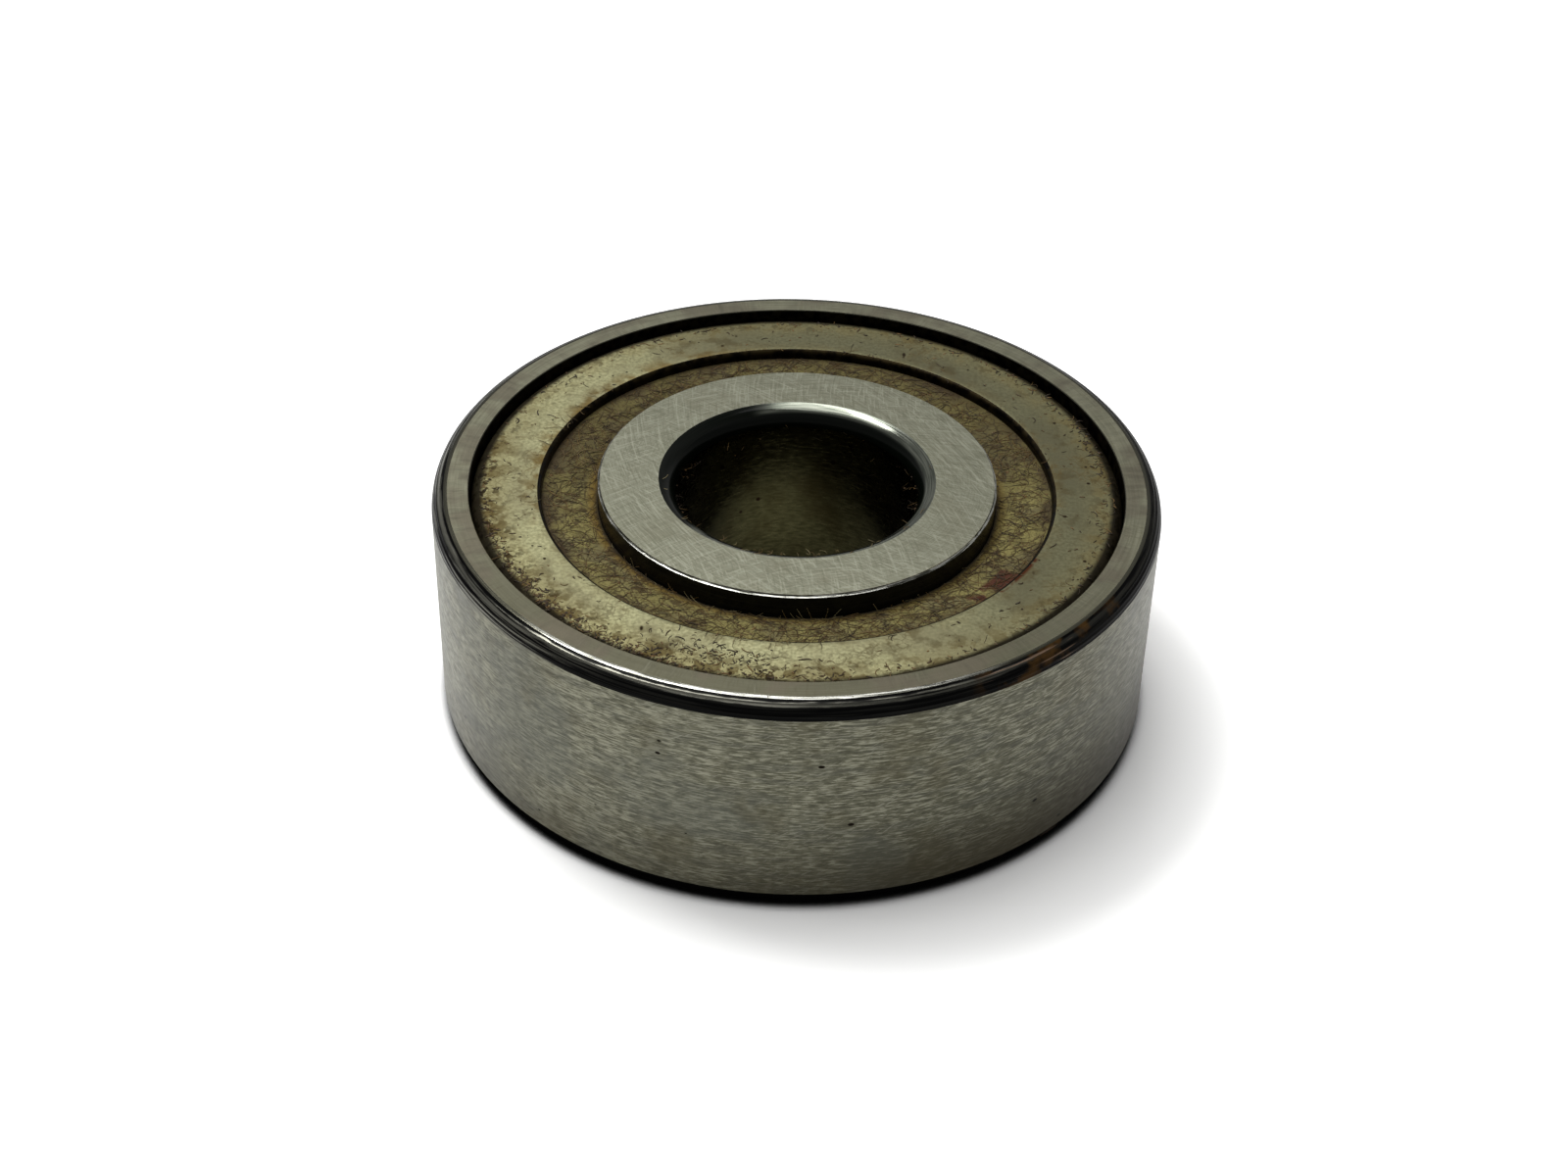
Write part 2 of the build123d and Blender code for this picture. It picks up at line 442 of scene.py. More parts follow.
ring_finishes = {
    "outside": ground_seat(),
    "corner": turned_scale(),
    "edge": worn_edge_and_highlight("worn_edge_and_highlight", -96),
    "face": ground_face(),
    "recess": grime_and_shade_recess(),
    "groove": lapped_groove(),
}
corner_start = (outer_radius, seat_end)
corner_end = (face_edge, half_width - edge_roll_drop)
face_start = (face_edge - edge_roll_width, half_width)
corner_turn = (corner_bulge, corner_steps, feed_marks, feed_mark_depth)
turned_corner = arc(corner_start, corner_end, *corner_turn)
outer_raceway = groove(outer_land, outer_groove, groove_steps)
recess_walls = [
    (recess_radius, undercut_top),
    (undercut_radius, undercut_top),
    (undercut_radius, seal_seat),
    (outer_land, seal_seat),
    outer_raceway[0],
]
outer_outline, outer_finishes = both_sides(
    (outer_radius, 0.0),
    [
        ("outside", wall(outer_radius, seat_end)),
        ("corner", turned_corner),
        ("edge", arc(corner_end, face_start, edge_roll_bulge, wall_steps)),
        ("face", [(recess_radius + recess_break, half_width)]),
        ("edge", [(recess_radius, half_width - recess_break)]),
        ("recess", recess_walls),
        ("groove", outer_raceway[1:]),
    ],
)
outer_ring = turned("outer_ring_turned", outer_outline, outer_finishes, ring_finishes)
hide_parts("outer_ring")
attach(outer_ring, "outer_ring")

# ---------------------------------------------------------------- inner ring
# The same steel. Its face is ground flush with the outer ring's, its bore corner is turned
# round and dark, the land that the felt wipes is polished, and the bore holds old oil.
land_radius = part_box("inner_ring")[1][0]
bore_radius = mounts["shaft_bore"]["dims"]["r_mm"] * mm
bore_end = mounts["shaft_bore"]["dims"]["length_mm"] * mm / 2
bore_corner_width = 0.68 * mm
bore_face_edge = bore_radius + bore_corner_width
bore_bulge = 0.17 * mm
bore_corner_steps = 24
land_break = 0.09 * mm
land_break_bulge = 0.025 * mm
land_break_steps = 12
nick_depth = 0.07 * mm
inner_groove = 7.12375 * mm
wheel_places = ((3.0, -15.0, 2.0), (-13.0, -9.0, 6.0), (12.0, 6.0, 9.0))


def ground_inner_face():
    """Fine-ground face, crossed by arcs of bright and dark hairlines from the wheel. A wheel
    place is its centre in millimetres and a shift of its noise."""
    made, tree, shader = surface("fine_ground_face")
    around, radius, height = turning_axes(tree)
    round_ring = strokes(around, radius, 9.0, 19000.0, 4.0)
    place = add(tree, "TexCoord").outputs["Object"]
    cloud = blotches(tree, 420.0, 3.0, 0.9)
    ground = fade(round_ring, 0.3, 0.7)
    sheen = tint(ground, (0.258, 0.260, 0.189), (0.359, 0.361, 0.271))
    grinding = round_ring
    for x, y, shift in wheel_places:
        centre = (x * mm, y * mm, 0)
        arm = add(tree, "VectorMath", {"operation": "SUBTRACT"}, in_0=place, in_1=centre).outputs[0]
        sweep = add(tree, "VectorMath", {"operation": "LENGTH"}, in_0=arm).outputs["Value"]
        path = add(tree, "VectorMath", {"operation": "NORMALIZE"}, in_0=arm).outputs[0]
        wheel = strokes(path, sweep, 11.0, 15000.0, 3.0, shift)
        bright = tint(fade(wheel, 0.56, 0.64, 0.0, 0.55), sheen, (0.502, 0.502, 0.393))
        sheen = tint(fade(wheel, 0.44, 0.36, 0.0, 0.45), bright, (0.185, 0.185, 0.127))
        grinding = combine("ADD", grinding, wheel)
    dulled = tint(fade(cloud, 0.50, 0.75, 0.0, 0.35), sheen, (0.234, 0.221, 0.150))
    rough = fade(round_ring, 0.3, 0.7, 0.42, 0.34)
    dress(shader, dulled, rough, grinding, 0.0016 * mm)
    return made


def oily_bore():
    """Bore with a film of dark oil, rust specks and brighter rubs, painted darker towards each rim as
    painted shade.
    """
    made, tree, shader = surface("oily_bore")
    around, radius, height = turning_axes(tree)
    fine = strokes(around, height, 12.0, 9000.0, 3.0)
    cloud = blotches(tree, 600.0, 4.0, 0.3)
    pits = specks(tree, 0.75 * mm, 0.20)
    dark = tint(fade(fine, 0.3, 0.7), (0.034, 0.032, 0.013), (0.080, 0.075, 0.034))
    browned = tint(fade(cloud, 0.45, 0.7, 0.0, 0.6), dark, (0.026, 0.019, 0.006))
    specked = tint(pits, browned, (0.012, 0.006, 0.003))
    # Painted shade: the bore is painted darker towards each rim.
    level = combine("ABSOLUTE", height)
    by_rim = fade(level, 0.3 * half_width, 0.85 * half_width, 0.0, 0.40)
    oiled_and_shaded = tint(by_rim, specked, (0.006, 0.005, 0.002))
    rough = fade(fine, 0.3, 0.7, 0.18, 0.28)
    dress(shader, oiled_and_shaded, rough, fine, 0.0012 * mm)
    return made


def polished_land():
    """Land that the felt has polished, nearly black and without a metal shine."""
    made, tree, shader = surface("polished_land")
    around, radius, height = turning_axes(tree)
    fine = strokes(around, height, 2.0, 16000.0, 2.0)
    dark = tint(fade(fine, 0.4, 0.7), (0.003, 0.003, 0.002), (0.008, 0.007, 0.005))
    rough = fade(fine, 0.3, 0.7, 0.16, 0.28)
    dress(shader, dark, rough, fine, 0.0006 * mm, 0.0)
    shader.inputs["Specular IOR Level"].default_value = 0.12
    return made


def bore_corner_steel():
    """Rounded bore corner, polished next to the face. Towards the bore, and on its left and right
    sides, it is painted black, as painted shade over old oil.
    """
    made, tree, shader = surface("bore_corner")
    around, radius, height = turning_axes(tree)
    fine = strokes(around, radius, 3.0, 20000.0, 3.0)
    # Painted shade over old oil: black towards the bore and on the left and right sides.
    oil_and_shade = fade(radius, bore_radius + 0.20 * mm, bore_radius + 0.50 * mm, 1.0, 0.0)
    oil_and_shade = larger(oil_and_shade, facing(around, 165, 0.30, 0.62, 0.0, 0.99))
    oil_and_shade = larger(oil_and_shade, facing(around, 5, 0.60, 0.85, 0.0, 0.55))
    grey = tint(fade(fine, 0.35, 0.65), (0.14, 0.155, 0.125), (0.34, 0.355, 0.295))
    oiled_and_shaded = tint(oil_and_shade, grey, (0.002, 0.003, 0.002))
    rough = fade(fine, 0.3, 0.7, 0.12, 0.20)
    dress(shader, oiled_and_shaded, rough, fine, 0.0012 * mm)
    tree.links.new(fade(oil_and_shade, 0.25, 0.90, 1.0, 0.0), shader.inputs["Metallic"])
    shader.inputs["Specular IOR Level"].default_value = 0.10
    return made


inner_ring_finishes = {
    "bore": oily_bore(),
    "corner": bore_corner_steel(),
    "edge": worn_edge_and_highlight("rubbed_edge"),
    "face": ground_inner_face(),
    "land": polished_land(),
    "groove": ring_finishes["groove"],
}
bore_corner_start = (bore_radius, bore_end)
bore_corner_end = (bore_face_edge, half_width)
break_start = (land_radius - land_break, half_width)
break_end = (land_radius, half_width - land_break)
inner_raceway = groove(land_radius, inner_groove, groove_steps)
inner_outline, inner_finish_order = both_sides(
    (bore_radius, 0.0),
    [
        ("bore", wall(bore_radius, bore_end)),
        ("corner", arc(bore_corner_start, bore_corner_end, -bore_bulge, bore_corner_steps)),
        ("face", [break_start]),
        ("edge", arc(break_start, break_end, land_break_bulge, land_break_steps)),
        ("land", inner_raceway[:1]),
        ("groove", inner_raceway[1:]),
    ],
)
inner_ring = turned("inner_ring_turned", inner_outline, inner_finish_order, inner_ring_finishes)
for vertex in inner_ring.data.vertices:
    x, y, z = vertex.co
    across = math.hypot(x, y)
    if across > land_radius - 0.7 * land_break and abs(z) > half_width - 0.7 * land_break:
        nick = max(0, noise.noise(vertex.co * 5200) - 0.1) * nick_depth
        vertex.co -= Vector((x / across, y / across, math.copysign(1, z))) * nick
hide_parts("inner_ring")
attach(inner_ring, "inner_ring")

# ---------------------------------------------------------------- seal cups
# Pressed from sheet steel with a dull yellowish plating, one on each side. The blanked hole
# has a rolled upper edge, and the outside is bent down into a skirt that is sprung into the
# recess. The upper one is bare: nothing is stamped on it.
cup_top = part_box("upper_seal_cup")[1][2]
cup_thickness = 0.40 * mm
cup_underside = cup_top - cup_thickness
cup_bend = 0.46 * mm
cup_bend_bulge = cup_bend * (1 - math.cos(math.pi / 4))
cup_clearance = 0.06 * mm
skirt_outside = recess_radius - cup_clearance
skirt_inside = skirt_outside - cup_thickness
felt_window = 2.20 * mm
window_radius = land_radius + felt_window
window_roll = 0.18 * mm
window_roll_bulge = 0.043 * mm
window_steps = 12
cup_face_steps = 12
cup_face_start = window_radius + window_roll
cup_face_end = skirt_outside - cup_bend
cup_ripple = 0.010 * mm


def plated_sheet():
    """Aged plating: pale olive where it is wiped, brown where grit has stained it. It is painted darker
    on the far and right side, and nearly black at the bend into the recess, as painted shade.
    """
    made, tree, shader = surface("plated_sheet")
    around, radius, height = turning_axes(tree)
    grain = blotches(tree, 7000.0, 4.0)
    cloud = blotches(tree, 1300.0, 6.0, 0.4)
    broad = blotches(tree, 260.0, 3.0, 0.7)
    pale = tint(fade(grain, 0.3, 0.7), (0.315, 0.304, 0.165), (0.560, 0.543, 0.308))
    mottled = tint(fade(broad, 0.40, 0.62, 0.0, 0.7), pale, (0.301, 0.277, 0.157))
    left_side = facing(around, -135, 0.30, 0.85, 0.42, 1.0)
    by_rim = fade(radius, skirt_outside - 2.0 * mm, skirt_outside - 0.4 * mm)
    dirty = times(by_rim, left_side)
    crust = times(dirty, fade(cloud, 0.50, 0.56))
    # Painted shade: the far and right side of the cup is painted darker.
    shaded_side = facing(around, 30, -0.35, 0.50, 0.0, 0.74)
    mottled = tint(shaded_side, mottled, (0.085, 0.081, 0.047))
    smears = times(fade(cloud, 0.50, 0.62, 0.0, 0.55), fade(broad, 0.42, 0.58))
    mottled = tint(smears, mottled, (0.085, 0.068, 0.030))
    yellowed = tint(times(dirty, 0.5), mottled, (0.32, 0.27, 0.105))
    browned = tint(times(crust, 0.75), yellowed, (0.120, 0.082, 0.024))
    clots = times(dirty, fade(blotches(tree, 2400.0, 4.0, 2.3), 0.58, 0.61))
    browned = tint(clots, browned, (0.030, 0.018, 0.006))
    strewn = fade(blotches(tree, 420.0, 2.0, 1.7), 0.53, 0.62)
    where = larger(dirty, times(strewn, 0.85))
    long_lines = scribbles(tree, 1300.0, 0.045, 0.2)
    short_lines = scribbles(tree, 2300.0, 0.050, 1.2)
    lines = times(larger(long_lines, short_lines), where)
    lined = tint(times(lines, 0.55), browned, (0.060, 0.036, 0.010))
    # Painted shade: the sheet is painted nearly black where it bends down into the gap at the recess.
    in_gap = fade(radius, skirt_outside - 0.60 * mm, skirt_outside - 0.32 * mm, 0.0, 0.96)
    gap_shaded = tint(in_gap, lined, (0.012, 0.009, 0.005))
    drawn_out = specks(tree, 0.9 * mm, 0.14, (1.0, 0.45, 1.0))
    flecks = larger(specks(tree, 0.55 * mm, 0.18), drawn_out)
    flecked = tint(flecks, gap_shaded, (0.022, 0.013, 0.005))
    by_hole = fade(radius, window_radius + 0.15 * mm, window_radius + 1.1 * mm, 1.0, 0.0)
    by_hole = times(by_hole, facing(around, 150, 0.55, 0.95, 0.15, 0.75))
    by_hole = times(by_hole, fade(cloud, 0.40, 0.60))
    flecked = tint(by_hole, flecked, (0.185, 0.120, 0.030))
    at_hole = fade(radius, window_radius + 0.20 * mm, window_radius + 0.36 * mm, 1.0, 0.0)
    rust_side = facing(around, -34, 0.990, 0.993)
    rust = times(times(at_hole, rust_side), fade(cloud, 0.34, 0.42))
    flecked = tint(rust, flecked, (0.070, 0.022, 0.008))
    covered = larger(larger(crust, rust), lines)
    metal = fade(covered, 0.0, 0.6, 0.72, 0.05)
    rough = fade(metal, 0.05, 0.72, 0.80, 0.40)
    relief = combine("ADD", grain, times(cloud, 2.0))
    dress(shader, flecked, rough, relief, 0.003 * mm)
    tree.links.new(metal, shader.inputs["Metallic"])
    shader.inputs["Specular IOR Level"].default_value = 0.06
    return made


def sheared_edge():
    """Edge of the hole and its rolled corner, black with old grease and painted shade."""
    made, tree, shader = surface("sheared_edge")
    grain = blotches(tree, 2200.0, 3.0)
    dark = tint(fade(grain, 0.35, 0.65), (0.004, 0.003, 0.002), (0.022, 0.016, 0.007))
    rough = fade(grain, 0.3, 0.7, 0.35, 0.6)
    dress(shader, dark, rough, grain, 0.006 * mm)
    return made


def across_face(start, end, height, steps):
    """Points along a level face, from one radius to another."""
    return [(start + (end - start) * step / steps, height) for step in range(steps + 1)]


cup_finishes = {"sheet": plated_sheet(), "sheared": sheared_edge()}
roll_start = (window_radius, cup_top - window_roll)
roll_end = (cup_face_start, cup_top)
bend_start = (cup_face_end, cup_top)
bend_end = (skirt_outside, cup_top - cup_bend)
cup_outline = [
    (window_radius, cup_underside),
    roll_start,
    *arc(roll_start, roll_end, -window_roll_bulge, window_steps),
    *across_face(cup_face_start, cup_face_end, cup_top, cup_face_steps)[1:],
    *arc(bend_start, bend_end, -cup_bend_bulge, wall_steps),
    (skirt_outside, foot_top),
    (foot_outside, foot_top),
    (foot_outside, seal_seat),
    (skirt_inside, seal_seat),
    (skirt_inside, cup_underside),
]
cup_facets = ["sheared"] * window_steps + ["sheet"] * (len(cup_outline) - window_steps)
for side_name, side in (("upper", 1), ("lower", -1)):
    cup = turned(f"{side_name}_seal_cup_pressed", cup_outline, cup_facets, cup_finishes, side)
    for vertex in cup.data.vertices:
        if window_radius < math.hypot(vertex.co.x, vertex.co.y) < cup_face_end:
            ripple = 0.5 + 0.5 * noise.noise(vertex.co * 300 + Vector((side, 0, 0)))
            vertex.co.z -= side * cup_ripple * ripple
    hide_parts(f"{side_name}_seal_cup")
    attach(cup, "outer_ring")

# ---------------------------------------------------------------- felt rings
# Wool felt, cut to a ring, soaked in oil and gone brown. It shows between the cup and the
# inner ring, sags a little where it rubs on the land, and its face is matted and hairy.
felt_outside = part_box("upper_felt_ring")[1][0]
felt_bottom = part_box("upper_felt_ring")[0][2]
felt_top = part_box("upper_felt_ring")[1][2]
felt_gap = 0.02 * mm
felt_inside = land_radius + felt_gap
felt_round = 0.06 * mm
felt_tuck = 0.5 * mm
felt_sag = 0.24 * mm
felt_lump = 0.045 * mm
felt_cuts = 720
felt_face_steps = 34
felt_crease = 60
fibre_count = 2600
fibre_steps = 6
fibre_seed = 40


def matted_wool():
    """Felt face: brown-olive wool, mottled darker, golden where rust has soaked in. It is painted
    darker on the far side and next to the land as painted shade, and under the edge of the cup's hole
    with painted shade over brown stain.
    """
    made, tree, shader = surface("matted_wool")
    around, radius, height = turning_axes(tree)
    fine = blotches(tree, 12000.0, 5.0)
    lumps = blotches(tree, 1100.0, 6.0, 0.2)
    broad = blotches(tree, 560.0, 3.0, 0.6)
    wool = tint(fade(fine, 0.32, 0.68), (0.165, 0.140, 0.044), (0.280, 0.243, 0.084))
    darker = tint(fade(lumps, 0.50, 0.60, 0.0, 0.45), wool, (0.078, 0.059, 0.018))
    patched = tint(fade(broad, 0.48, 0.62, 0.0, 0.6), darker, (0.130, 0.112, 0.058))
    tangle = times(scribbles(tree, 1700.0, 0.045, 0.8), fade(broad, 0.40, 0.50))
    # Painted shade: darker brown patches on the far side, in the shadow of the cup's hole.
    far_side_shade = larger(facing(around, 52, 0.5, 0.9), facing(around, 138, 0.6, 0.95))
    patched = tint(times(far_side_shade, 0.55), patched, (0.058, 0.042, 0.010))
    matted = tint(times(tangle, 0.8), patched, (0.026, 0.015, 0.004))
    by_land = fade(radius, land_radius + 0.12 * mm, land_radius + 0.65 * mm, 1.0, 0.0)
    soaked = times(by_land, facing(around, 170, -0.6, 0.95, 0.60, 1.0))
    golden = tint(times(soaked, 0.90), matted, (0.190, 0.116, 0.016))
    spotted = times(fade(blotches(tree, 1500.0, 3.0, 3.1), 0.60, 0.64), 0.75)
    golden = tint(spotted, golden, (0.050, 0.030, 0.008))
    # Painted shadow under the edge of the cup's hole, over a brown stain.
    by_window = fade(radius, window_radius - 0.75 * mm, window_radius - 0.05 * mm)
    shaded = times(by_window, fade(broad, 0.36, 0.60, 0.25, 0.85))
    edged = tint(shaded, golden, (0.045, 0.028, 0.010))
    near_hole = fade(radius, window_radius - 1.00 * mm, window_radius - 0.82 * mm)
    rust = times(near_hole, facing(around, -38, 0.989, 0.994))
    rusty = times(rust, fade(lumps, 0.38, 0.46))
    edged = tint(rusty, edged, (0.075, 0.022, 0.008))
    # Painted shade: the felt is painted nearly black in the gap next to the land.
    at_land = fade(radius, land_radius + 0.02 * mm, land_radius + 0.26 * mm, 0.9, 0.0)
    shaded_by_land = tint(at_land, edged, (0.012, 0.008, 0.003))
    rough = fade(fine, 0.3, 0.7, 0.75, 0.95)
    relief = combine("ADD", fine, times(lumps, 2.0))
    dress(shader, shaded_by_land, rough, relief, 0.03 * mm, 0.0)
    shader.inputs["Sheen Weight"].default_value = 0.08
    shader.inputs["Specular IOR Level"].default_value = 0.25
    return made


def wool_fibre():
    """Single hairs, from pale straw to dark brown, by the shade each one is given."""
    made, tree, shader = surface("wool_fibre")
    shade = add(tree, "Attribute", {"attribute_name": "shade"}).outputs["Fac"]
    dark = tint(fade(shade, 0.0, 0.5), (0.018, 0.010, 0.003), (0.170, 0.098, 0.022))
    colour = tint(fade(shade, 0.5, 1.0), dark, (0.36, 0.30, 0.145))
    fine = blotches(tree, 12000.0, 2.0)
    worn = tint(fade(fine, 0.4, 0.7, 0.0, 0.4), colour, (0.10, 0.06, 0.02))
    rough = fade(fine, 0.3, 0.7, 0.5, 0.7)
    dress(shader, worn, rough, metal=0.0)
    return made


def felt_height(x, y):
    """Height of the matted upper face at a place: it is level under the cup, and sinks towards
    the land."""
    radius = math.hypot(x, y)
    share = min(1, max(0, (radius - felt_inside) / (window_radius - felt_inside)))
    sag = felt_sag * (1 - share) ** 1.6
    lump = noise.noise(Vector((x, y, 0)) * 2200) + 0.5 * noise.noise(Vector((x, y, 1)) * 6500)
    bare = min(1, max(0, (window_radius - radius) / (0.3 * mm)))
    return felt_top - (sag + felt_lump * (1 + 0.65 * lump)) * bare


def add_hair(vertices, faces, shades, points, thickness, shade):
    """A three-sided hair through the points, tapered to its ends."""
    nearly_up = Vector((0.31, 0.17, 0.93))
    first = len(vertices)
    last = len(points) - 1
    for number, point in enumerate(points):
        ahead = (points[min(number + 1, last)] - points[max(number - 1, 0)]).normalized()
        across = ahead.cross(nearly_up).normalized()
        above = across.cross(ahead)
        girth = thickness * (0.45 + 0.55 * math.sin(math.pi * (number + 0.5) / (last + 1)))
        for corner in range(3):
            turn = 2 * math.pi * corner / 3
            vertices.append(point + (across * math.cos(turn) + above * math.sin(turn)) * girth)
            shades.append(shade)
    for number in range(last):
        for corner in range(3):
            here = first + 3 * number
            after = (corner + 1) % 3
            faces.append((here + corner, here + after, here + 3 + after, here + 3 + corner))
    faces.append((first + 2, first + 1, first))
    faces.append((first + 3 * last, first + 3 * last + 1, first + 3 * last + 2))


def hairs_mesh(name, vertices, faces, shades, material):
    """An object from hairs, with each hair's shade kept on its points."""
    mesh = bpy.data.meshes.new(name)
    mesh.from_pydata([tuple(v) for v in vertices], [], faces)
    mesh.attributes.new("shade", "FLOAT", "POINT").data.foreach_set("value", shades)
    mesh.materials.append(material)
    mesh.shade_smooth()
    return placed(name, mesh)


fibre_material = wool_fibre()
felt_look = {"wool": matted_wool()}
felt_outline = across_face(felt_inside, window_radius + felt_tuck, felt_top, felt_face_steps)
felt_outline += [
    (felt_outside, felt_top - felt_round),
    (felt_outside, felt_bottom),
    (felt_inside, felt_bottom),
]
felt_facets = ["wool"] * len(felt_outline)
for side_name, side in (("upper", 1), ("lower", -1)):
    name = f"{side_name}_felt_wool"
    felt = turned(name, felt_outline, felt_facets, felt_look, side, felt_cuts, felt_crease)
    for vertex in felt.data.vertices:
        if side * vertex.co.z > felt_top - 0.01 * mm:
            vertex.co.z = side * felt_height(vertex.co.x, vertex.co.y * side)
    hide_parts(f"{side_name}_felt_ring")
    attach(felt, "outer_ring")

    chance = random.Random(fibre_seed + side)
    vertices, faces, shades = [], [], []
    for fibre in range(fibre_count):
        angle = chance.uniform(0, 2 * math.pi)
        radius = chance.uniform(felt_inside + 0.08 * mm, window_radius - 0.05 * mm)
        heading = chance.uniform(0, 2 * math.pi)
        length = chance.uniform(0.3, 1.3) * mm
        bend = chance.uniform(-2.0, 2.0)
        lift = chance.uniform(0.0, 0.04) * mm
        x, y, _ = polar(radius, angle)
        points = []
        for step in range(fibre_steps + 1):
            away = math.hypot(x, y)
            if not felt_inside + 0.03 * mm < away < window_radius - 0.02 * mm:
                break
            rise = lift * math.sin(math.pi * step / fibre_steps)
            points.append(Vector((x, y, side * (felt_height(x, y * side) + 0.004 * mm + rise))))
            heading += bend / fibre_steps
            x += math.cos(heading) * length / fibre_steps
            y += math.sin(heading) * length / fibre_steps
        if len(points) > 2:
            shade = chance.choice((chance.uniform(0.0, 0.25), chance.uniform(0.25, 0.75)))
            add_hair(vertices, faces, shades, points, chance.uniform(0.006, 0.015) * mm, shade)
    fibres = hairs_mesh(f"{side_name}_felt_fibres", vertices, faces, shades, fibre_material)
    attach(fibres, "outer_ring")

# ---------------------------------------------------------------- lint
# Hairs that have come loose from the upper felt. They stand up against the black land, lie
# over the edge of the cup's hole, and stick in the bore and on its rim. Thicker dark flakes
# lie on the cup, most of them at its rim.
lint_seed = 7
hairs_by_land = 130
hairs_on_cup = 46
flakes_on_cup = 780
hairs_in_bore = 60
hairs_on_bore_rim = 44
hair_steps = 7
smear_radius = 11.4 * mm


def loose_hair(chance, start, heading, rise, length, curl):
    """Points of a hair that leaves its start at a heading, and climbs by rise over length."""
    x, y, z = start
    points = [Vector(start)]
    for step in range(hair_steps):
        heading += curl / hair_steps + chance.uniform(-0.25, 0.25)
        x += math.cos(heading) * length / hair_steps
        y += math.sin(heading) * length / hair_steps
        z += rise / hair_steps
        points.append(Vector((x, y, z)))
    return points


chance = random.Random(lint_seed)
vertices, faces, shades = [], [], []
for hair in range(hairs_by_land):
    angle = math.radians(chance.gauss(-95, 48))
    x, y, _ = polar(felt_inside + chance.uniform(0.06, 0.30) * mm, angle)
    start = (x, y, felt_height(x, y) + 0.01 * mm)
    heading = angle + math.pi / 2 * chance.choice((-1, 1)) + chance.uniform(-0.5, 0.5)
    rise = chance.choice((0.03, 0.10, 0.28, 0.55)) * chance.uniform(0.4, 1.0) * mm
    length = chance.uniform(0.15, 0.7) * mm
    points = loose_hair(chance, start, heading, rise, length, chance.uniform(-1.2, 1.2))
    points = [p for p in points if math.hypot(p.x, p.y) > land_radius + 0.05 * mm]
    if len(points) > 2:
        girth = chance.uniform(0.007, 0.013) * mm
        add_hair(vertices, faces, shades, points, girth, chance.uniform(0.3, 1.0))
for hair in range(hairs_on_cup):
    sides = [chance.uniform(*side) for side in ((140, 168), (-180, 180), (-112, -84))]
    angle = math.radians(chance.choice(sides))
    radius = window_radius + chance.uniform(-0.25, 0.25) * mm
    start = polar(radius, angle, cup_top + 0.015 * mm)
    heading = angle + chance.uniform(-1.2, 1.2)
    length = chance.uniform(0.25, 0.9) * mm
    points = loose_hair(chance, start, heading, 0.01 * mm, length, chance.uniform(-1.5, 1.5))
    add_hair(vertices, faces, shades, points, chance.uniform(0.006, 0.013) * mm, chance.random() ** 1.3)
for flake in range(flakes_on_cup):
    at_rim = cup_face_end + 0.06 * mm - abs(chance.gauss(0, 0.24)) * mm
    anywhere = chance.uniform(window_radius + 0.1 * mm, cup_face_end)
    angle, radius = chance.choice(
        (
            (chance.gauss(-142, 17), at_rim),
            (chance.gauss(-120, 26), at_rim),
            (chance.gauss(5, 32), at_rim),
            (chance.gauss(60, 60), at_rim),
            (chance.gauss(-103, 7), smear_radius + chance.gauss(0.0, 0.3) * mm),
            (chance.uniform(-180, 180), anywhere),
        )
    )
    start = polar(radius, math.radians(angle), cup_top + 0.004 * mm)
    length = chance.uniform(0.06, 0.24) * chance.choice((1, 1, 2.2)) * mm
    heading = chance.uniform(0, 6.3)
    points = loose_hair(chance, start, heading, 0.0, length, chance.uniform(-2.5, 2.5))
    girth = chance.uniform(0.010, 0.034) * mm
    add_hair(vertices, faces, shades, points, girth, chance.random() ** 3 * 0.5)
lint = hairs_mesh("lint_on_seal", vertices, faces, shades, fibre_material)
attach(lint, "outer_ring")

vertices, faces, shades = [], [], []
for hair in range(hairs_in_bore):
    near, left, right = chance.gauss(-90, 45), chance.uniform(120, 240), chance.gauss(0, 40)
    angle = math.radians(chance.choice((near, left, right)))
    depth = abs(chance.gauss(0, 0.55)) * mm
    start = polar(bore_radius - 0.012 * mm, angle, bore_end - depth)
    heading = angle + math.pi + chance.uniform(-0.9, 0.9)
    length = chance.uniform(0.12, 0.45) * mm
    rise = chance.uniform(-0.2, 0.3) * mm
    points = loose_hair(chance, start, heading, rise, length, chance.uniform(-1.5, 1.5))
    girth = chance.uniform(0.006, 0.012) * mm
    add_hair(vertices, faces, shades, points, girth, chance.random() * 0.5)
for hair in range(hairs_on_bore_rim):
    angle = math.radians(chance.gauss(-90, 38))
    start = polar(bore_face_edge - chance.uniform(0.05, 0.25) * mm, angle, half_width - 0.01 * mm)
    heading = angle + math.pi + chance.uniform(-1.4, 1.4)
    rise = chance.uniform(-0.05, 0.06) * mm
    points = loose_hair(chance, start, heading, rise, chance.uniform(0.1, 0.4) * mm, 1.2)
    girth = chance.uniform(0.007, 0.014) * mm
    add_hair(vertices, faces, shades, points, girth, chance.uniform(0.3, 1.0))
lint = hairs_mesh("lint_in_bore", vertices, faces, shades, fibre_material)
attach(lint, "inner_ring")

# ---------------------------------------------------------------- grit
# Brown crumbs of dried grease and rust: packed into the angle at the cup's rim, most of them
# on one side, scattered over the cup and the felt, and stuck round the bore's rim.
grit_seed = 11
crumbs_at_rim = 420
crumbs_on_cup = 150
crumbs_on_felt = 260
crumbs_in_bore = 70


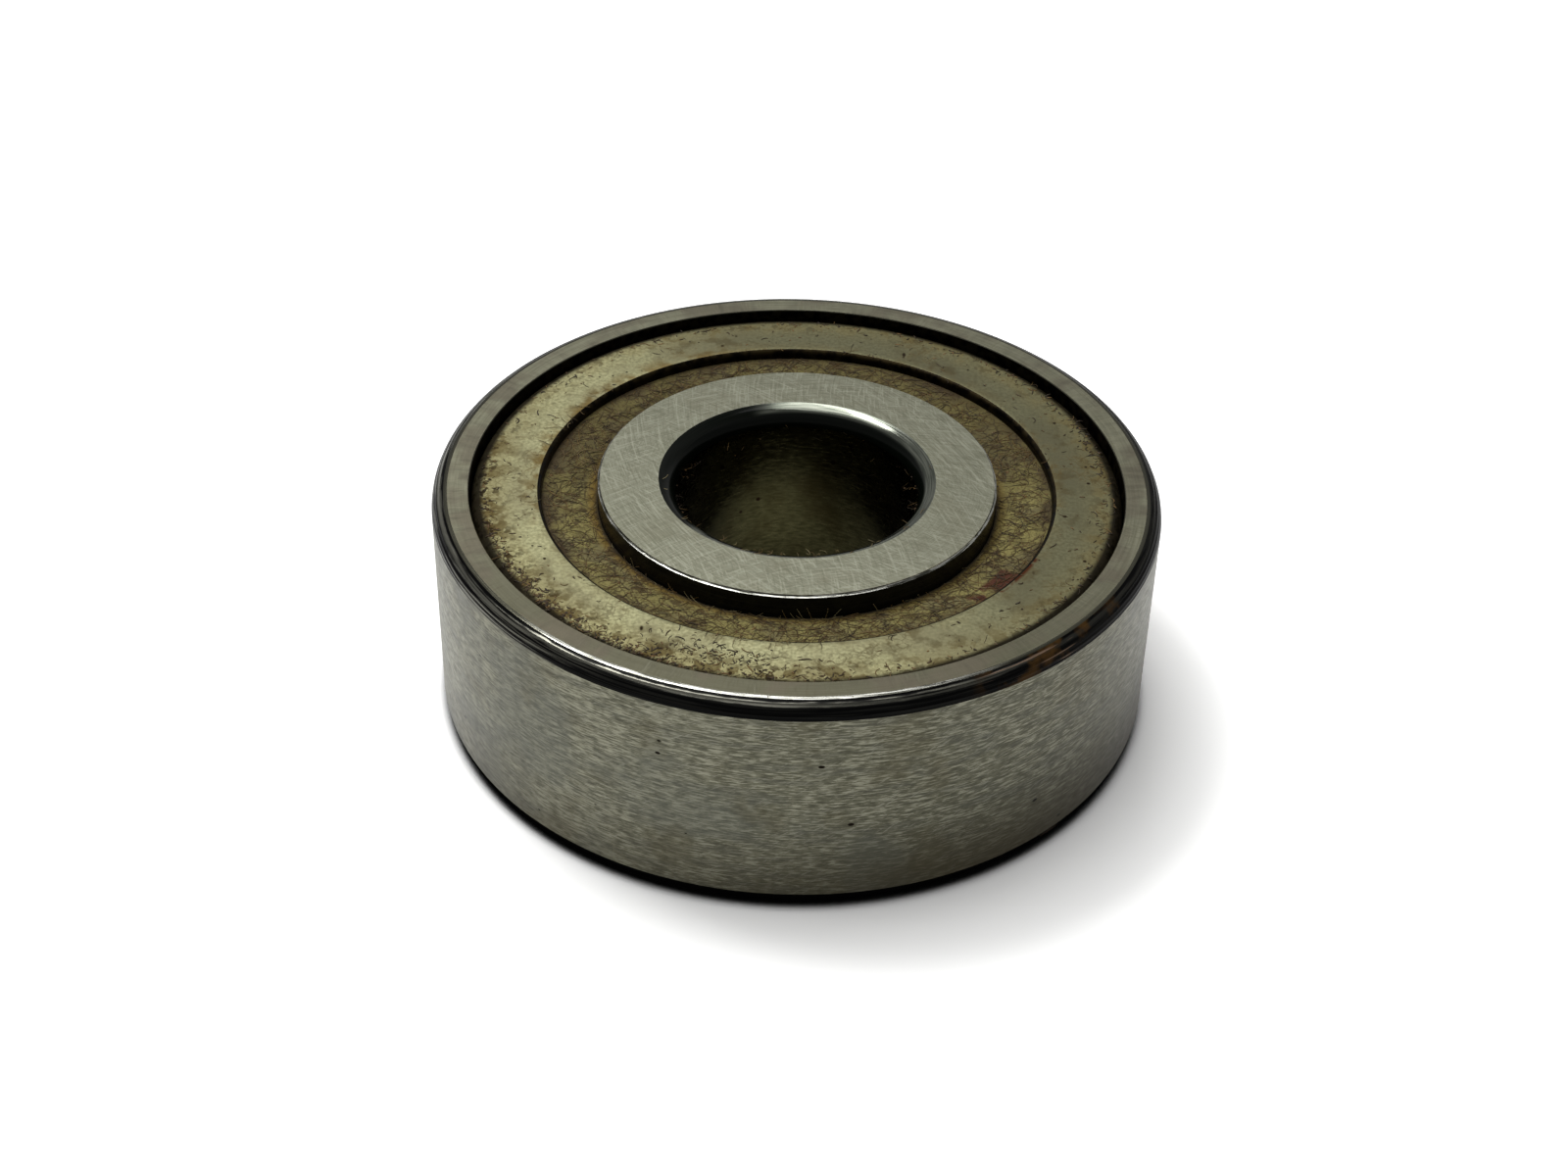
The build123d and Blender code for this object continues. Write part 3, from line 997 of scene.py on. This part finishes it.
def dried_grease():
    """Crumbs, each from black-brown to rusty orange by the shade it is given."""
    made, tree, shader = surface("dried_grease")
    shade = add(tree, "Attribute", {"attribute_name": "shade"}).outputs["Fac"]
    colour = tint(shade, (0.020, 0.011, 0.004), (0.23, 0.125, 0.035))
    grain = blotches(tree, 9000.0, 3.0)
    grainy = tint(fade(grain, 0.4, 0.7, 0.0, 0.5), colour, (0.035, 0.020, 0.007))
    rough = fade(grain, 0.3, 0.7, 0.5, 0.8)
    dress(shader, grainy, rough, grain, 0.01 * mm, 0.0)
    return made


grease_material = dried_grease()


def crumbs(name, chance, places, body):
    """One object of lumpy crumbs, at places given as a point and a size."""
    heap = bmesh.new()
    layer = heap.verts.layers.float.new("shade")
    for point, size in places:
        lump = bmesh.ops.create_icosphere(heap, subdivisions=1, radius=size)["verts"]
        shade = chance.random() ** 1.4
        spin = Matrix.Rotation(chance.uniform(0, 6.3), 3, "Z")
        stretch = chance.uniform(1.0, 3.6)
        for vertex in lump:
            apart = Vector((point.x * 9000, 0, 0))
            vertex.co *= 1 + 0.35 * noise.noise(vertex.co / size * 1.7 + apart)
            x, y, z = vertex.co
            vertex.co = spin @ Vector((x * stretch, y * 0.8, z * 0.35)) + point
            vertex[layer] = shade
    mesh = bpy.data.meshes.new(name)
    heap.to_mesh(mesh)
    heap.free()
    mesh.materials.append(grease_material)
    mesh.shade_smooth()
    piece = placed(name, mesh)
    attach(piece, body)


chance = random.Random(grit_seed)
places = []
for crumb in range(crumbs_at_rim):
    packed, spread, anywhere = chance.gauss(-140, 16), chance.gauss(-128, 30), chance.uniform(-180, 180)
    angle = math.radians(chance.choice((packed, spread, anywhere)))
    radius = cup_face_end + 0.12 * mm - abs(chance.gauss(0, 0.30)) * mm
    size = chance.uniform(0.015, 0.055) * mm
    places.append((Vector(polar(radius, angle, cup_top)), size))
for crumb in range(crumbs_on_cup):
    angle = chance.uniform(-math.pi, math.pi)
    radius = chance.uniform(window_radius + 0.1 * mm, cup_face_end)
    size = chance.uniform(0.010, 0.045) * mm
    places.append((Vector(polar(radius, angle, cup_top)), size))
for crumb in range(crumbs_on_felt):
    angle = chance.uniform(-math.pi, math.pi)
    radius = chance.uniform(felt_inside + 0.1 * mm, window_radius - 0.05 * mm)
    x, y, _ = polar(radius, angle)
    places.append((Vector((x, y, felt_height(x, y))), chance.uniform(0.012, 0.055) * mm))
crumbs("grit_on_seal", chance, places, "outer_ring")

places = []
for crumb in range(crumbs_in_bore):
    near, right, left = chance.gauss(-90, 50), chance.gauss(0, 30), chance.gauss(180, 30)
    angle = math.radians(chance.choice((near, right, left)))
    depth = abs(chance.gauss(0, 0.45)) * mm
    size = chance.uniform(0.012, 0.05) * mm
    places.append((Vector(polar(bore_radius, angle, bore_end - depth)), size))
crumbs("grit_in_bore", chance, places, "inner_ring")

# ---------------------------------------------------------------- backing washers
# Thin stamped steel, out of sight under each felt: it keeps the felt off the cage.


def stamped_steel(name, low, high, scale, low_rough, high_rough):
    """Plain pressed steel, lightly greased: cloudy grey with fine scuffs."""
    made, tree, shader = surface(name)
    cloud = blotches(tree, scale, 4.0)
    fine = blotches(tree, scale * 8, 3.0, 0.3)
    grey = tint(fade(cloud, 0.35, 0.65), low, high)
    scuffed = tint(fade(fine, 0.55, 0.75, 0.0, 0.4), grey, low)
    rough = fade(fine, 0.3, 0.7, low_rough, high_rough)
    dress(shader, scuffed, rough, fine, 0.002 * mm)
    return made


def refinish(node_name, material):
    """Gives a carried-over piece its material."""
    piece = frame["nodes"][node_name]
    for slot in piece.material_slots:
        slot.material = material


backing_colours = ((0.30, 0.29, 0.26), (0.48, 0.47, 0.44))
backing_steel = stamped_steel("stamped_backing", *backing_colours, 700, 0.3, 0.45)
for side_name in ("upper", "lower"):
    refinish(f"{side_name}_backing_washer", backing_steel)

# ---------------------------------------------------------------- cage
# Two pressed strips of soft steel with round pockets, closed round the balls and held
# together by a domed rivet through each web.
cage_colours = ((0.34, 0.33, 0.30), (0.55, 0.54, 0.51))
rivet_colours = ((0.42, 0.41, 0.39), (0.62, 0.61, 0.59))
cage_steel = stamped_steel("pressed_cage", *cage_colours, 900, 0.22, 0.38)
rivet_steel = stamped_steel("headed_rivet", *rivet_colours, 1500, 0.2, 0.34)
refinish("upper_cage", cage_steel)
refinish("lower_cage", cage_steel)
refinish("cage_rivets", rivet_steel)

# ---------------------------------------------------------------- balls
# Lapped chromium-steel balls, mirror bright under a trace of grease.


def lapped_ball():
    """Mirror-bright steel, faintly clouded by running tracks."""
    made, tree, shader = surface("lapped_ball")
    cloud = blotches(tree, 500.0, 3.0)
    tracks = blotches(tree, 7000.0, 2.0, 0.8)
    bright = tint(fade(cloud, 0.4, 0.7), (0.66, 0.66, 0.65), (0.74, 0.74, 0.73))
    rough = fade(tracks, 0.45, 0.75, 0.04, 0.12)
    dress(shader, bright, rough, tracks, 0.0002 * mm)
    return made


ball_steel = lapped_ball()
for node_name in frame["nodes"]:
    if node_name.startswith("ball_"):
        refinish(node_name, ball_steel)

# ---------------------------------------------------------------- floor, lamps and camera
# White paper under the bearing, with a painted contact shadow where they touch: an
# ambient occlusion node darkens the paper's colour there. A window is behind the bearing,
# a ceiling light behind it to the left, and a skylight nearly overhead. The room is pale
# low down and dark above.
paper_height = -half_width - 0.02 * mm
paper_radius = 3.0
contact_reach = 0.9 * mm
middle = (0, 0, paper_height)
bpy.ops.mesh.primitive_circle_add(vertices=96, radius=paper_radius, fill_type="NGON", location=middle)
floor = bpy.context.object
floor.name = "paper_floor"
paper, paper_tree = surface("white_paper")[:2]
rays = add(paper_tree, "LightPath")
shown = larger(rays.outputs["Is Glossy Ray"], rays.outputs["Is Transmission Ray"])
plain = tint(shown, (0.90, 0.90, 0.90), (1.20, 1.20, 1.19))
white = tint(rays.outputs["Is Camera Ray"], plain, (1.66, 1.66, 1.65))
# Painted contact shadow: the paper's colour goes nearly black where the bearing shelters it.
shelter = add(paper_tree, "AmbientOcclusion", {"samples": 12}, Distance=contact_reach)
open_share = fade(shelter.outputs["AO"], 0.36, 0.74)
shaded_white = tint(open_share, (0.01, 0.01, 0.01), white)
sheet = add(paper_tree, "BsdfDiffuse", Color=shaded_white)
paper_tree.links.new(sheet.outputs[0], paper_tree.nodes["Material Output"].inputs["Surface"])
floor.data.materials.append(paper)

room = bpy.data.worlds.new("room")
bpy.context.scene.world = room
room.use_nodes = True
room_tree = room.node_tree
upward = add(room_tree, "SeparateXYZ", Vector=add(room_tree, "TexCoord").outputs["Generated"])
walls = add(room_tree, "ValToRGB", Fac=upward.outputs["Z"])
walls.color_ramp.elements[0].color = (0.36, 0.36, 0.35, 1)
walls.color_ramp.elements[1].color = (0.04, 0.04, 0.04, 1)
for height, level in ((0.42, 0.24), (0.60, 0.36), (0.75, 0.28), (0.88, 0.08)):
    walls.color_ramp.elements.new(height).color = (level, level, level, 1)
room_tree.links.new(walls.outputs["Color"], room_tree.nodes["Background"].inputs["Color"])


def softbox(name, left, up, distance, size, share):
    """A square lamp, left degrees to the left of straight behind and up degrees high, that
    gives white paper that share of full white."""
    left, up = math.radians(left), math.radians(up)
    towards = Vector((-math.sin(left) * math.cos(up), math.cos(left) * math.cos(up), math.sin(up)))
    lamp = bpy.data.lights.new(name, "AREA")
    lamp.size = size
    lamp.energy = share * math.pi**2 * distance**2 / towards.z
    stand = placed(name, lamp)
    stand.location = towards * distance
    stand.rotation_euler = towards.to_track_quat("Z", "Y").to_euler()


softbox("window", 8, 56, 0.50, 0.16, 0.07)
softbox("ceiling_light", 50, 62, 0.45, 0.12, 0.24)
softbox("skylight", 55, 78, 0.45, 0.36, 0.50)

camera_distance = 100.07 * mm
camera_height_angle = math.radians(34.11)
aim = Vector((-0.41, -0.93, 0)) * mm
roll = math.radians(1.40)
lens = bpy.data.cameras.new("camera")
lens.lens = 58.49
lens.sensor_width = 36
lens.clip_start = 0.005
camera = placed("camera", lens)
camera.location = (
    0,
    -camera_distance * math.cos(camera_height_angle),
    half_width + camera_distance * math.sin(camera_height_angle),
)
looking = (aim - camera.location).to_track_quat("-Z", "Y")
camera.rotation_euler = (looking.to_matrix() @ Matrix.Rotation(roll, 3, "Z")).to_euler()
bpy.context.scene.camera = camera
bpy.context.scene.view_settings.view_transform = "Standard"
